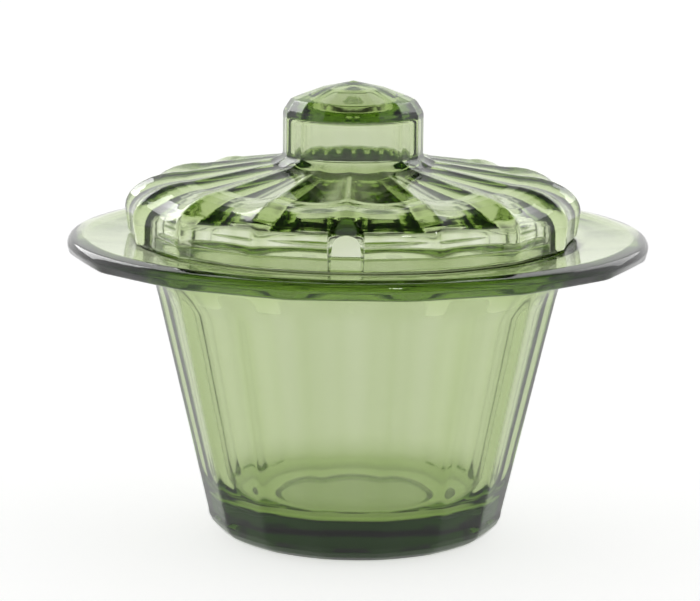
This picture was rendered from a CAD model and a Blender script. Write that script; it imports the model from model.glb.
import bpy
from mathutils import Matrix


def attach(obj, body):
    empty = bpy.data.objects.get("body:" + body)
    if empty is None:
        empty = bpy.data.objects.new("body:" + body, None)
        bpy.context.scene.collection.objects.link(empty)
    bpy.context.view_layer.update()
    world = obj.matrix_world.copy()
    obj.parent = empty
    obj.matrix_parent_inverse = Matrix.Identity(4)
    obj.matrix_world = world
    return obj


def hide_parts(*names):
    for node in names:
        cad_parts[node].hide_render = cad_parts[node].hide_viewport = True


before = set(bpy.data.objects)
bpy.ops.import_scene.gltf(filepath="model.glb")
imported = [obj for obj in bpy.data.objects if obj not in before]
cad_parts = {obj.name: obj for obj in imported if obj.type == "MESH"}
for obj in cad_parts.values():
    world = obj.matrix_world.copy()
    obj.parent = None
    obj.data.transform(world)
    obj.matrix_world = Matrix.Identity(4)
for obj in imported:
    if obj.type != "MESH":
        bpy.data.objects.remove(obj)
"""Pressed green glass sweet dish: a panelled bowl with a wide flange, and its fluted lid."""

import logging
import math
from dataclasses import dataclass, field
from enum import Enum
from typing import Callable

import bpy
import numpy as np
from mathutils import Matrix, Vector

LOG = logging.getLogger("dish")
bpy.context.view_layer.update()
FRONT = -math.pi / 2.0
PANELS = 16
STEPS_PER_PANEL = 18
EDGE_CROWDING = 0.65
WELD = 2e-6
REST_GAP = 0.0003
GLASS_PASSES = 28


class Seen(Enum):
    """What a lamp lights: the paper floor, or the glass, as a highlight."""

    FLOOR = "floor"
    GLASS = "glass"


@dataclass(frozen=True)
class Corner:
    """A corner of a piece's cross-section.

    flat is how far the sixteen panels are pressed in there, from 0, round, to 1, flat.
    groove is the depth in metres of the hollow flute pressed into each panel.
    """

    radius: float
    height: float
    rounding: float = 0.0
    flat: float = 0.0
    groove: float = 0.0

    def as_row(self) -> np.ndarray:
        """The corner as a row of four numbers."""
        return np.array([self.radius, self.height, self.flat, self.groove])


@dataclass(frozen=True)
class Section:
    """Cross-section of a turned piece, from its axis and back to its axis.

    Args:
        corners: The corners, in order.
        longest: The longest straight edge that stays undivided, in metres.
        curve_steps: Edges in each rounded corner.
    """

    corners: tuple[Corner, ...]
    longest: float = 0.0012
    curve_steps: int = 6

    def curve(self, before: np.ndarray, corner: Corner, after: np.ndarray) -> list[np.ndarray]:
        """Rounds one corner.

        Args:
            before: The row of the corner before this one.
            corner: The corner to round.
            after: The row of the corner after this one.

        Returns:
            The rows along the rounding, or the corner alone where it is sharp.
        """
        middle = corner.as_row()
        if corner.rounding <= 0.0:
            return [middle]
        to_before, to_after = before - middle, after - middle
        long_before = float(np.hypot(to_before[0], to_before[1]))
        long_after = float(np.hypot(to_after[0], to_after[1]))
        turn = float(to_before[0] * to_after[0] + to_before[1] * to_after[1])
        opening = math.acos(max(-1.0, min(1.0, turn / (long_before * long_after))))
        reach = corner.rounding / max(math.tan(opening / 2.0), 1e-6)
        start = middle + to_before * min(reach / long_before, 0.49)
        end = middle + to_after * min(reach / long_after, 0.49)
        rows = []
        for step in range(self.curve_steps + 1):
            share = step / self.curve_steps
            first, second = start + (middle - start) * share, middle + (end - middle) * share
            rows.append(first + (second - first) * share)
        return rows

    def rows(self) -> np.ndarray:
        """Rows of radius, height, flat and groove, close enough for a smooth surface."""
        corners = self.corners
        rough = [corners[0].as_row()]
        for before, corner, after in zip(corners, corners[1:], corners[2:]):
            rough.extend(self.curve(before.as_row(), corner, after.as_row()))
        rough.append(corners[-1].as_row())
        rows = [rough[0]]
        for start, end in zip(rough, rough[1:]):
            length = float(np.hypot(end[0] - start[0], end[1] - start[1]))
            if length < 1e-7:
                continue
            cuts = max(1, math.ceil(length / self.longest))
            rows.extend(start + (end - start) * (cut / cuts) for cut in range(1, cuts + 1))
        return np.array(rows)


@dataclass(frozen=True)
class PanelRhythm:
    """How the sixteen panels stand round a piece.

    Args:
        phase: Angle of a ridge between two panels, in radians.
        ridge: Share of half a panel that rounds over into the ridge.
        arch: Height by which the panels' tops rise in the middle, in metres.
        arch_top: Height of the panels' tops in their middle, in metres.
        arch_blend: Height over which a panel fades out at its top, in metres.
        arch_reach: Radius of the wall where its panels end, in metres.
    """

    phase: float
    ridge: float = 0.12
    arch: float = 0.0
    arch_top: float = 0.0
    arch_blend: float = 0.0030
    arch_reach: float = 0.0511

    def crowd(self, share: np.ndarray) -> np.ndarray:
        """Moves even steps across a panel, from -1 to 1, closer to its ridges."""
        return (1.0 - EDGE_CROWDING) * share + EDGE_CROWDING * np.sin(share * math.pi / 2.0)

    def below_arch(self, radius: np.ndarray, height: np.ndarray,
                   across: np.ndarray) -> np.ndarray:
        """Fades the panels out below the flange.

        Args:
            radius: Distance of each vertex from the axis.
            height: Height of each vertex.
            across: Place across the panel, from -1 to 1 at its ridges.

        Returns:
            1 on a panel and 0 above its arched top, on the wall only.
        """
        left = self.arch_top - self.arch * across ** 2 - height
        share = np.clip(left / self.arch_blend, 0.0, 1.0)
        share = share * share * (3.0 - 2.0 * share)
        return np.where(radius > self.arch_reach, 1.0, share)

    def hollow(self, across: np.ndarray) -> np.ndarray:
        """Depth of a panel across its width.

        Args:
            across: Place across the panel, from -1 to 1 at its ridges.

        Returns:
            1 in the middle of the panel, falling to a small rounded ridge at its sides.
        """
        side = np.abs(across)
        start = 1.0 - self.ridge
        over = np.clip(side - start, 0.0, None)
        plain = 1.0 - np.minimum(side, start) ** 2
        return plain - 2.0 * start * over + start / self.ridge * over ** 2


def only(piece: bpy.types.Object) -> None:
    """Selects one object and makes it the active one.

    Args:
        piece: The object.
    """
    bpy.ops.object.select_all(action="DESELECT")
    piece.select_set(True)
    bpy.context.view_layer.objects.active = piece


def turned(name: str, rows: np.ndarray) -> bpy.types.Object:
    """Draws a cross-section and spins it round the Z axis.

    Args:
        name: The new piece's name.
        rows: The cross-section's rows, of which the first two numbers are radius and height.

    Returns:
        The closed piece, with its faces pointing outwards.
    """
    bpy.ops.object.select_all(action="DESELECT")
    bpy.ops.mesh.primitive_circle_add(vertices=3, radius=0.001)
    piece = bpy.context.active_object
    piece.name = name
    bpy.ops.object.mode_set(mode="EDIT")
    bpy.ops.mesh.select_all(action="SELECT")
    bpy.ops.mesh.merge(type="CENTER")
    bpy.ops.transform.translate(value=(rows[0][0], 0.0, rows[0][1]))
    for before, row in zip(rows, rows[1:]):
        step = (row[0] - before[0], 0.0, row[1] - before[1])
        bpy.ops.mesh.extrude_vertices_move(TRANSFORM_OT_translate={"value": step})
    bpy.ops.mesh.select_all(action="SELECT")
    steps = PANELS * STEPS_PER_PANEL
    bpy.ops.mesh.spin(steps=steps, angle=2.0 * math.pi, center=(0, 0, 0), axis=(0, 0, 1))
    bpy.ops.mesh.select_all(action="SELECT")
    bpy.ops.mesh.remove_doubles(threshold=WELD)
    bpy.ops.mesh.normals_make_consistent(inside=False)
    bpy.ops.object.mode_set(mode="OBJECT")
    return piece


def coordinates(piece: bpy.types.Object) -> np.ndarray:
    """The places of a mesh's vertices, one row each."""
    places = np.empty(len(piece.data.vertices) * 3, dtype=np.float64)
    piece.data.vertices.foreach_get("co", places)
    return places.reshape(-1, 3)


def place(piece: bpy.types.Object, places: np.ndarray) -> None:
    """Moves a mesh's vertices to new places.

    Args:
        piece: The piece.
        places: A row of x, y and z for each vertex.
    """
    piece.data.vertices.foreach_set("co", places.ravel())
    piece.data.update()


def nearest_rows(places: np.ndarray, rows: np.ndarray) -> np.ndarray:
    """Finds the cross-section row that each vertex came from.

    Args:
        places: The vertices' places.
        rows: The cross-section's rows.

    Returns:
        The number of the nearest row for each vertex.
    """
    radius = np.hypot(places[:, 0], places[:, 1])
    found = np.empty(len(places), dtype=int)
    for start in range(0, len(places), 20000):
        part = slice(start, start + 20000)
        gap = (radius[part, None] - rows[None, :, 0]) ** 2
        gap += (places[part, 2][:, None] - rows[None, :, 1]) ** 2
        found[part] = np.argmin(gap, axis=1)
    return found


def press_panels(piece: bpy.types.Object, rows: np.ndarray, rhythm: PanelRhythm) -> None:
    """Presses the sixteen panels into a turned piece.

    Args:
        piece: The turned piece.
        rows: The rows that it was turned from, with their flat and groove.
        rhythm: How the panels stand round it.
    """
    places = coordinates(piece)
    radius = np.hypot(places[:, 0], places[:, 1])
    angle = np.arctan2(places[:, 1], places[:, 0]) - rhythm.phase
    width = 2.0 * math.pi / PANELS
    number = np.floor(angle / width)
    across = rhythm.crowd(2.0 * (angle / width - number) - 1.0)
    angle = (number + (across + 1.0) / 2.0) * width + rhythm.phase
    found = rows[nearest_rows(places, rows)]
    hollow = rhythm.hollow(across)
    chord = 1.0 - math.cos(width / 2.0)
    flat = found[:, 2]
    if rhythm.arch > 0.0:
        flat = flat * rhythm.below_arch(radius, places[:, 2], across)
    radius = radius - radius * chord * flat * hollow
    places[:, 0] = radius * np.cos(angle)
    places[:, 1] = radius * np.sin(angle)
    places[:, 2] -= found[:, 3] * hollow
    place(piece, places)


def finish_shape(piece: bpy.types.Object, angle: float) -> None:
    """Recalculates a piece's normals and shades it smooth.

    Args:
        piece: The piece.
        angle: Edges sharper than this stay crisp, in radians.
    """
    only(piece)
    bpy.ops.object.mode_set(mode="EDIT")
    bpy.ops.mesh.select_all(action="SELECT")
    bpy.ops.mesh.normals_make_consistent(inside=False)
    bpy.ops.object.mode_set(mode="OBJECT")
    bpy.ops.object.shade_smooth_by_angle(angle=angle)


@dataclass(frozen=True)
class GreenGlass:
    """Clear pressed glass, tinted green all through.

    Args:
        name: The material's name.
        tint: Colour that the glass lets through, on the absorption's own scale.
        density: How fast the glass takes colour away, per metre.
        clear: How much light each passage through the surface lets by.
        bending: Index of refraction.
        roughness: Softness of the pressed surface.
        wear: Further softness where the surface is rubbed.
        ripple: Height of the mould's faint ripples, in metres.
        ripple_scale: Ripples in a metre.
        wear_scale: Rubbed spots in a metre.
    """

    name: str = "green_glass"
    tint: tuple[float, float, float] = (0.50, 0.643, 0.13)
    density: float = 150.0
    clear: float = 0.965
    bending: float = 1.5
    roughness: float = 0.050
    wear: float = 0.05
    ripple: float = 0.00006
    ripple_scale: float = 95.0
    wear_scale: float = 420.0

    def make(self) -> bpy.types.Material:
        """Builds the material.

        Returns:
            The new material.
        """
        material = bpy.data.materials.new(self.name)
        material.use_nodes = True
        nodes, links = material.node_tree.nodes, material.node_tree.links
        shader = nodes["Principled BSDF"]
        shader.inputs["Base Color"].default_value = (self.clear, self.clear, self.clear, 1.0)
        shader.inputs["Roughness"].default_value = self.roughness
        shader.inputs["IOR"].default_value = self.bending
        shader.inputs["Transmission Weight"].default_value = 1.0
        volume = nodes.new("ShaderNodeVolumeAbsorption")
        volume.inputs["Color"].default_value = (*self.tint, 1.0)
        volume.inputs["Density"].default_value = self.density
        links.new(volume.outputs["Volume"], nodes["Material Output"].inputs["Volume"])
        self.add_surface(nodes, links, shader)
        return material

    def add_surface(self, nodes: bpy.types.Nodes, links: bpy.types.NodeLinks,
                    shader: bpy.types.Node) -> None:
        """Adds the mould's ripples and the fine wear of use.

        Args:
            nodes: The material's nodes.
            links: The material's links.
            shader: The glass shader.
        """
        where = nodes.new("ShaderNodeTexCoord")
        swell = nodes.new("ShaderNodeTexNoise")
        swell.inputs["Scale"].default_value = self.ripple_scale
        swell.inputs["Detail"].default_value = 1.5
        links.new(where.outputs["Object"], swell.inputs["Vector"])
        bump = nodes.new("ShaderNodeBump")
        bump.inputs["Strength"].default_value = 0.35
        bump.inputs["Distance"].default_value = self.ripple
        links.new(swell.outputs["Fac"], bump.inputs["Height"])
        links.new(bump.outputs["Normal"], shader.inputs["Normal"])
        rub = nodes.new("ShaderNodeTexNoise")
        rub.inputs["Scale"].default_value = self.wear_scale
        rub.inputs["Detail"].default_value = 3.0
        links.new(where.outputs["Object"], rub.inputs["Vector"])
        spread = nodes.new("ShaderNodeMapRange")
        spread.inputs["From Min"].default_value = 0.55
        spread.inputs["From Max"].default_value = 0.8
        spread.inputs["To Min"].default_value = self.roughness
        spread.inputs["To Max"].default_value = self.roughness + self.wear
        links.new(rub.outputs["Fac"], spread.inputs["Value"])
        links.new(spread.outputs["Result"], shader.inputs["Roughness"])


@dataclass(frozen=True)
class FloorFinish:
    """Matt white paper that the dish stands on, lit from all round.

    Args:
        glow: Light that comes up through the paper.
        sheen: Further light that the paper shows where it is seen bare.
        white: How much light the paper sends back.
        grain: How much that varies over the paper, each way.
    """

    glow: float = 0.54
    sheen: float = 0.12
    white: float = 0.80
    grain: float = 0.01

    def make(self) -> bpy.types.Material:
        """Builds the material.

        Returns:
            The new material.
        """
        material = bpy.data.materials.new("white_paper")
        material.use_nodes = True
        nodes, links = material.node_tree.nodes, material.node_tree.links
        shader = nodes["Principled BSDF"]
        shader.inputs["Roughness"].default_value = 0.9
        shader.inputs["Specular IOR Level"].default_value = 0.0
        shader.inputs["Emission Color"].default_value = (1.0, 1.0, 1.0, 1.0)
        path = nodes.new("ShaderNodeLightPath")
        bare = nodes.new("ShaderNodeMath")
        bare.operation = "MULTIPLY_ADD"
        bare.inputs[1].default_value = self.sheen
        bare.inputs[2].default_value = self.glow
        links.new(path.outputs["Is Camera Ray"], bare.inputs[0])
        links.new(bare.outputs["Value"], shader.inputs["Emission Strength"])
        where = nodes.new("ShaderNodeTexCoord")
        fibres = nodes.new("ShaderNodeTexNoise")
        fibres.inputs["Scale"].default_value = 900.0
        links.new(where.outputs["Object"], fibres.inputs["Vector"])
        spread = nodes.new("ShaderNodeMapRange")
        spread.inputs["To Min"].default_value = self.white - self.grain
        spread.inputs["To Max"].default_value = self.white + self.grain
        links.new(fibres.outputs["Fac"], spread.inputs["Value"])
        links.new(spread.outputs["Result"], shader.inputs["Base Color"])
        return material


@dataclass
class Bowl:
    """The bowl, its flange and its lip, pressed in one.

    Sizes are in metres. wall_start is the wall's radius carried down to the paper, wall_flare
    is how much it gains for each metre of height, and heel_height is the height of the rounded
    heel as a share of its rounding.
    """

    glass: bpy.types.Material
    recess_radius: float = 0.0212
    recess_depth: float = 0.0018
    foot_radius: float = 0.0290
    foot_rounding: float = 0.0085
    heel_height: float = 0.75
    heel_steps: int = 6
    wall_start: float = 0.0351
    wall_flare: float = 0.2275
    wall_thickness: float = 0.0042
    floor_height: float = 0.0100
    floor_fillet: float = 0.0095
    arch_height: float = 0.0645
    flange_radius: float = 0.0700
    flange_top: float = 0.0738
    seat: float = 0.0729
    lip_radius: float = 0.0505
    lip_top: float = 0.0758
    mouth_radius: float = 0.0468
    rhythm: PanelRhythm = field(default_factory=lambda: PanelRhythm(
        phase=FRONT + math.pi / PANELS, ridge=0.16, arch=0.0015, arch_top=0.0655,
        arch_blend=0.0060))

    def wall(self, height: float) -> float:
        """Outer radius of the wall at a height."""
        return self.wall_start + self.wall_flare * height

    def outside(self) -> list[Corner]:
        """Corners from the middle of the underside up to the root of the flange."""
        corners = [
            Corner(0.0, self.recess_depth),
            Corner(self.recess_radius - 0.0012, self.recess_depth, 0.0022),
            Corner(self.recess_radius + 0.0006, 0.0, 0.0014),
            Corner(self.foot_radius, 0.0, 0.0020, flat=0.1),
        ]
        heel = self.foot_rounding * self.heel_height
        out = self.wall(heel) - self.foot_radius
        for step in range(1, self.heel_steps + 1):
            angle = math.pi / 2.0 * step / self.heel_steps
            radius = self.foot_radius + out * math.sin(angle)
            height = heel * (1.0 - math.cos(angle))
            corners.append(Corner(radius, height, 0.0020, flat=0.1 + 0.15 * step))
        top = self.arch_height
        corners.append(Corner(self.wall(top), top, 0.0, flat=1.0))
        return corners

    def flange(self) -> list[Corner]:
        """Corners round the flange and over the seat to the foot of the lip."""
        edge = self.flange_radius
        return [
            Corner(0.0512, 0.0686, 0.0030, flat=0.0),  # root, under the flange
            Corner(0.0580, 0.0690, 0.0300, flat=0.3),
            Corner(edge - 0.0030, 0.0694, 0.0100, flat=0.8),
            Corner(edge - 0.0003, 0.0696, 0.0009, flat=0.9),  # lower edge
            Corner(edge, 0.0718, 0.0016),
            Corner(edge - 0.0008, 0.0734, 0.0016),  # upper edge
            Corner(edge - 0.0040, self.flange_top + 0.00002, 0.0040),
            Corner(0.0600, 0.0733, 0.0400),
            Corner(0.0550, self.seat, 0.0100),  # outer rim of the seat
        ]

    def lip(self) -> list[Corner]:
        """Corners over the lip and down to the inside of the floor."""
        wall = self.wall_start - self.wall_thickness
        floor = self.floor_height
        inner = wall + self.wall_flare * floor
        return [
            Corner(self.lip_radius, self.seat, 0.0009),
            Corner(self.lip_radius, self.lip_top, 0.0013),
            Corner(self.mouth_radius, self.lip_top, 0.0016),
            Corner(wall + self.wall_flare * 0.0600, 0.0600, 0.0300),  # below the mouth
            Corner(inner, floor, self.floor_fillet),  # inside corner of the floor
            Corner(inner * 0.4, floor, 0.0),
            Corner(0.0, floor),
        ]

    def build(self) -> bpy.types.Object:
        """Builds the bowl.

        Returns:
            The finished bowl, riding on its body.
        """
        section = Section(tuple(self.outside() + self.flange() + self.lip()))
        rows = section.rows()
        bowl = turned("bowl_glass", rows)
        press_panels(bowl, rows, self.rhythm)
        finish_shape(bowl, math.radians(60.0))
        bowl.data.materials.append(self.glass)
        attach(bowl, "bowl")
        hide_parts("bowl")
        return bowl


@dataclass
class Lid:
    """The lid and its knob, pressed in one, with the notch for a spoon.

    Heights are counted from the edge that the lid stands on, in metres. play is how far the
    lid lies to one side in its loose seat.
    """

    glass: bpy.types.Material
    stands_at: float = 0.0729 + REST_GAP
    play: float = 0.0014
    skirt_radius: float = 0.0543
    bulge_radius: float = 0.0552
    skirt_inner: float = 0.0520
    skirt_height: float = 0.0062
    shoulder_radius: float = 0.0405
    shoulder_height: float = 0.0147
    shoulder_steps: int = 8
    roof_radius: float = 0.0190
    roof_height: float = 0.0178
    roof_thickness: float = 0.0040
    flute_depth: float = 0.0014
    knob_radius: float = 0.0169
    knob_foot: float = 0.0192
    knob_wall_top: float = 0.0288
    cap_radius: float = 0.0150
    cap_height: float = 0.0327
    top: float = 0.0371
    bore_radius: float = 0.0138
    bore_top: float = 0.0330
    notch_half: float = 0.00425
    notch_end: float = 0.0503
    notch_spring: float = 0.0089
    rhythm: PanelRhythm = field(default_factory=lambda: PanelRhythm(phase=FRONT, ridge=0.10))

    def knob(self) -> list[Corner]:
        """Corners from the tip of the knob down to its foot."""
        return [
            Corner(0.0, self.top),
            Corner(0.0012, self.top - 0.0003, 0.0010, flat=0.2),
            Corner(0.5 * self.cap_radius, self.cap_height + 0.0028, 0.0080, flat=0.8),  # cone
            Corner(self.cap_radius, self.cap_height, 0.0022, flat=1.0),  # rim of the cone
            Corner(self.knob_radius, self.knob_wall_top + 0.0010, 0.0030, flat=1.0),
            Corner(self.knob_radius, self.knob_foot, 0.0012, flat=1.0),  # foot of the knob
            Corner(self.roof_radius + 0.0010, self.roof_height, 0.0010, flat=1.0,
                   groove=0.3 * self.flute_depth),
        ]

    def roof(self) -> list[Corner]:
        """Corners over the fluted roof, round the shoulder and down the skirt."""
        corners = [
            Corner(self.shoulder_radius, self.shoulder_height, 0.0060, flat=1.0,
                   groove=self.flute_depth),
        ]
        out = self.bulge_radius - self.shoulder_radius
        up = self.shoulder_height - self.skirt_height
        for step in range(1, self.shoulder_steps):
            angle = math.pi / 2.0 * step / self.shoulder_steps
            radius = self.shoulder_radius + out * math.sin(angle)
            height = self.skirt_height + up * math.cos(angle)
            corners.append(Corner(radius, height, 0.0040, flat=1.8,
                                  groove=self.flute_depth * math.cos(angle)))
        corners.append(Corner(self.bulge_radius, self.skirt_height, 0.0040, flat=1.7))
        corners.append(Corner(self.skirt_radius, 0.0, 0.0008, flat=1.4))
        return corners

    def hollow(self) -> list[Corner]:
        """Corners from the edge the lid stands on up into the knob."""
        roof = self.roof_thickness
        return [
            Corner(self.skirt_inner, 0.0, 0.0007),
            Corner(self.skirt_inner - 0.0002, self.skirt_height + 0.0014, 0.0040),
            Corner(self.shoulder_radius, self.shoulder_height - roof - 0.0001, 0.0400),
            Corner(self.roof_radius, self.roof_height - roof - 0.0002, 0.0040),
            Corner(self.bore_radius + 0.0002, self.roof_height - roof + 0.0001, 0.0012),
            Corner(self.bore_radius, self.bore_top - 0.0045, 0.0011),
            Corner(self.bore_radius * 0.66, self.bore_top - 0.0040, 0.0030),
            Corner(self.bore_radius * 0.33, self.bore_top - 0.0010, 0.0030),
            Corner(0.0008, self.bore_top, 0.0010),
            Corner(0.0, self.bore_top),
        ]

    def cutter(self) -> bpy.types.Object:
        """Round-nosed tool in the notch's place.

        Returns:
            The tool: a ball at its inner end, drawn outwards and downwards.
        """
        ball = (0.0, -self.notch_end - self.notch_half, self.notch_spring)
        bpy.ops.object.select_all(action="DESELECT")
        bpy.ops.mesh.primitive_uv_sphere_add(segments=48, ring_count=24, radius=self.notch_half)
        bar = bpy.context.active_object
        bar.name = "notch_tool"
        self.draw_out(bar, lambda spot: spot.y < -1e-6, (0.0, -0.0080, 0.0))
        self.draw_out(bar, lambda spot: spot.z < -1e-6, (0.0, 0.0, -0.0120))
        self.draw_out(bar, lambda spot: True, ball)
        return bar

    def draw_out(self, piece: bpy.types.Object, test: Callable[[Vector], bool],
                 move: tuple[float, float, float]) -> None:
        """Moves part of a mesh.

        Args:
            piece: The piece.
            test: Says whether a vertex at this place moves.
            move: How far it moves.
        """
        only(piece)
        bpy.ops.object.mode_set(mode="EDIT")
        bpy.ops.mesh.select_all(action="DESELECT")
        bpy.ops.object.mode_set(mode="OBJECT")
        for vertex in piece.data.vertices:
            vertex.select = test(vertex.co)
        bpy.ops.object.mode_set(mode="EDIT")
        bpy.ops.transform.translate(value=move)
        bpy.ops.object.mode_set(mode="OBJECT")

    def cut_notch(self, lid: bpy.types.Object) -> None:
        """Cuts the notch for the spoon's handle through the front of the lid.

        Args:
            lid: The lid, still centred on the Z axis.
        """
        bar = self.cutter()
        cut = lid.modifiers.new("notch", "BOOLEAN")
        cut.operation = "DIFFERENCE"
        cut.solver = "EXACT"
        cut.object = bar
        only(lid)
        bpy.ops.object.modifier_apply(modifier=cut.name)
        bpy.data.objects.remove(bar)

    def build(self) -> bpy.types.Object:
        """Builds the lid.

        Returns:
            The finished lid, riding on its body.
        """
        section = Section(tuple(self.knob() + self.roof() + self.hollow()))
        rows = section.rows()
        lid = turned("lid_glass", rows)
        press_panels(lid, rows, self.rhythm)
        self.cut_notch(lid)
        only(lid)
        bpy.ops.object.mode_set(mode="EDIT")
        bpy.ops.mesh.select_all(action="SELECT")
        bpy.ops.transform.translate(value=(-self.play, 0.0, self.stands_at))
        bpy.ops.object.mode_set(mode="OBJECT")
        finish_shape(lid, math.radians(45.0))
        lid.data.materials.append(self.glass)
        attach(lid, "lid")
        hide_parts("lid")
        return lid


@dataclass
class Studio:
    """White paper floor, a light tent open at the top, and soft lamps."""

    floor_size: float = 30.0
    tent_light: float = 1.07
    roof_light: float = 0.08
    camera_side_light: float = 0.20

    def add_floor(self) -> bpy.types.Object:
        """Adds the floor.

        Returns:
            The floor.
        """
        bpy.ops.object.select_all(action="DESELECT")
        bpy.ops.mesh.primitive_plane_add(size=self.floor_size)
        floor = bpy.context.active_object
        floor.name = "paper_floor"
        floor.data.materials.append(FloorFinish().make())
        return floor

    def add_tent(self) -> bpy.types.World:
        """Makes the tent: bright walls, a dark opening above, and a dimmer side.

        Returns:
            The world that holds it.
        """
        world = bpy.data.worlds.new("light_tent")
        bpy.context.scene.world = world
        world.use_nodes = True
        nodes, links = world.node_tree.nodes, world.node_tree.links
        where = nodes.new("ShaderNodeTexCoord")
        split = nodes.new("ShaderNodeSeparateXYZ")
        links.new(where.outputs["Generated"], split.inputs["Vector"])
        rise = self.band(nodes, (0.55, 0.82), (self.tent_light, self.roof_light))
        links.new(split.outputs["Z"], rise.inputs["Value"])
        side = self.band(nodes, (-0.75, -0.25), (self.camera_side_light, 1.0))
        links.new(split.outputs["Y"], side.inputs["Value"])
        product = nodes.new("ShaderNodeMath")
        product.operation = "MULTIPLY"
        links.new(rise.outputs["Result"], product.inputs[0])
        links.new(side.outputs["Result"], product.inputs[1])
        links.new(product.outputs["Value"], nodes["Background"].inputs["Strength"])
        nodes["Background"].inputs["Color"].default_value = (1.0, 1.0, 1.0, 1.0)
        return world

    def band(self, nodes: bpy.types.Nodes, places: tuple[float, float],
             values: tuple[float, float]) -> bpy.types.Node:
        """Adds a soft step from one brightness to another.

        Args:
            nodes: The world's nodes.
            places: Where the step starts and ends.
            values: The brightness before and after it.

        Returns:
            The new node.
        """
        step = nodes.new("ShaderNodeMapRange")
        step.interpolation_type = "SMOOTHSTEP"
        step.inputs["From Min"].default_value = places[0]
        step.inputs["From Max"].default_value = places[1]
        step.inputs["To Min"].default_value = values[0]
        step.inputs["To Max"].default_value = values[1]
        return step

    def add_lamp(self, name: str, at: Vector, size: float, power: float, seen: Seen) -> None:
        """Adds a square soft lamp that faces the dish.

        Args:
            name: The lamp's name.
            at: Its place.
            size: Its width.
            power: Its power in watts.
            seen: What it shows itself to.
        """
        aim = (Vector((0.0, 0.0, 0.06)) - at).to_track_quat("-Z", "Y").to_euler()
        bpy.ops.object.light_add(type="AREA", location=at, rotation=aim)
        lamp = bpy.context.active_object
        lamp.name = name
        lamp.data.shape = "SQUARE"
        lamp.data.size = size
        lamp.data.energy = power
        lamp.visible_camera = False
        lamp.visible_transmission = False
        lamp.visible_diffuse = seen is Seen.FLOOR
        lamp.visible_glossy = seen is Seen.GLASS

    def build(self) -> None:
        """Builds the floor, the tent and the lamps."""
        self.add_floor()
        self.add_tent()
        self.add_lamp("roof_lamp", Vector((0.0, 0.3, 3.0)), 4.0, 10.0, Seen.FLOOR)
        self.add_lamp("front_lamp", Vector((0.25, -0.75, 0.85)), 0.06, 0.3, Seen.GLASS)
        self.add_lamp("left_lamp", Vector((-0.90, 1.00, 0.75)), 0.80, 7.0, Seen.GLASS)
        self.add_lamp("right_lamp", Vector((0.90, 1.00, 0.75)), 0.80, 3.5, Seen.GLASS)


@dataclass
class Eye:
    """The camera, level with the lid and a little above it."""

    at: tuple[float, float, float] = (0.01444, -0.6277, 0.1773)
    swing: float = 0.0258
    dip: float = 0.1898
    roll: float = 0.0095
    lens: float = 135.37

    def build(self) -> bpy.types.Object:
        """Adds the camera and makes it the scene's.

        Returns:
            The camera.
        """
        turn = Matrix.Rotation(self.swing, 3, "Z")
        turn = turn @ Matrix.Rotation(math.pi / 2.0 - self.dip, 3, "X")
        turn = turn @ Matrix.Rotation(self.roll, 3, "Z")
        bpy.ops.object.camera_add(location=self.at, rotation=turn.to_euler())
        camera = bpy.context.active_object
        camera.name = "eye"
        camera.data.lens = self.lens
        camera.data.clip_start = 0.01
        bpy.context.scene.camera = camera
        return camera


def set_light_paths() -> None:
    """Lets light pass through all the glass walls, and keeps whites as they are."""
    cycles = bpy.context.scene.cycles
    cycles.max_bounces = GLASS_PASSES
    cycles.transmission_bounces = GLASS_PASSES
    cycles.glossy_bounces = 10
    cycles.diffuse_bounces = 3
    bpy.context.scene.view_settings.view_transform = "Standard"


def report(builders: dict[str, Callable[[], bpy.types.Object]]) -> None:
    """Builds each piece and logs its size.

    Args:
        builders: The pieces' build methods, by name.
    """
    for name, build in builders.items():
        piece = build()
        LOG.info("%s: %d faces, %s m", name, len(piece.data.polygons),
                 tuple(round(side, 4) for side in piece.dimensions))


def main() -> None:
    """Builds the camera, the studio and the dish, and notes its size."""
    logging.basicConfig(level=logging.INFO, format="%(message)s")
    Eye().build()
    Studio().build()
    set_light_paths()
    glass = GreenGlass().make()
    report({"bowl": Bowl(glass).build, "lid": Lid(glass).build})
    bpy.context.view_layer.update()


if __name__ == "__main__":
    main()
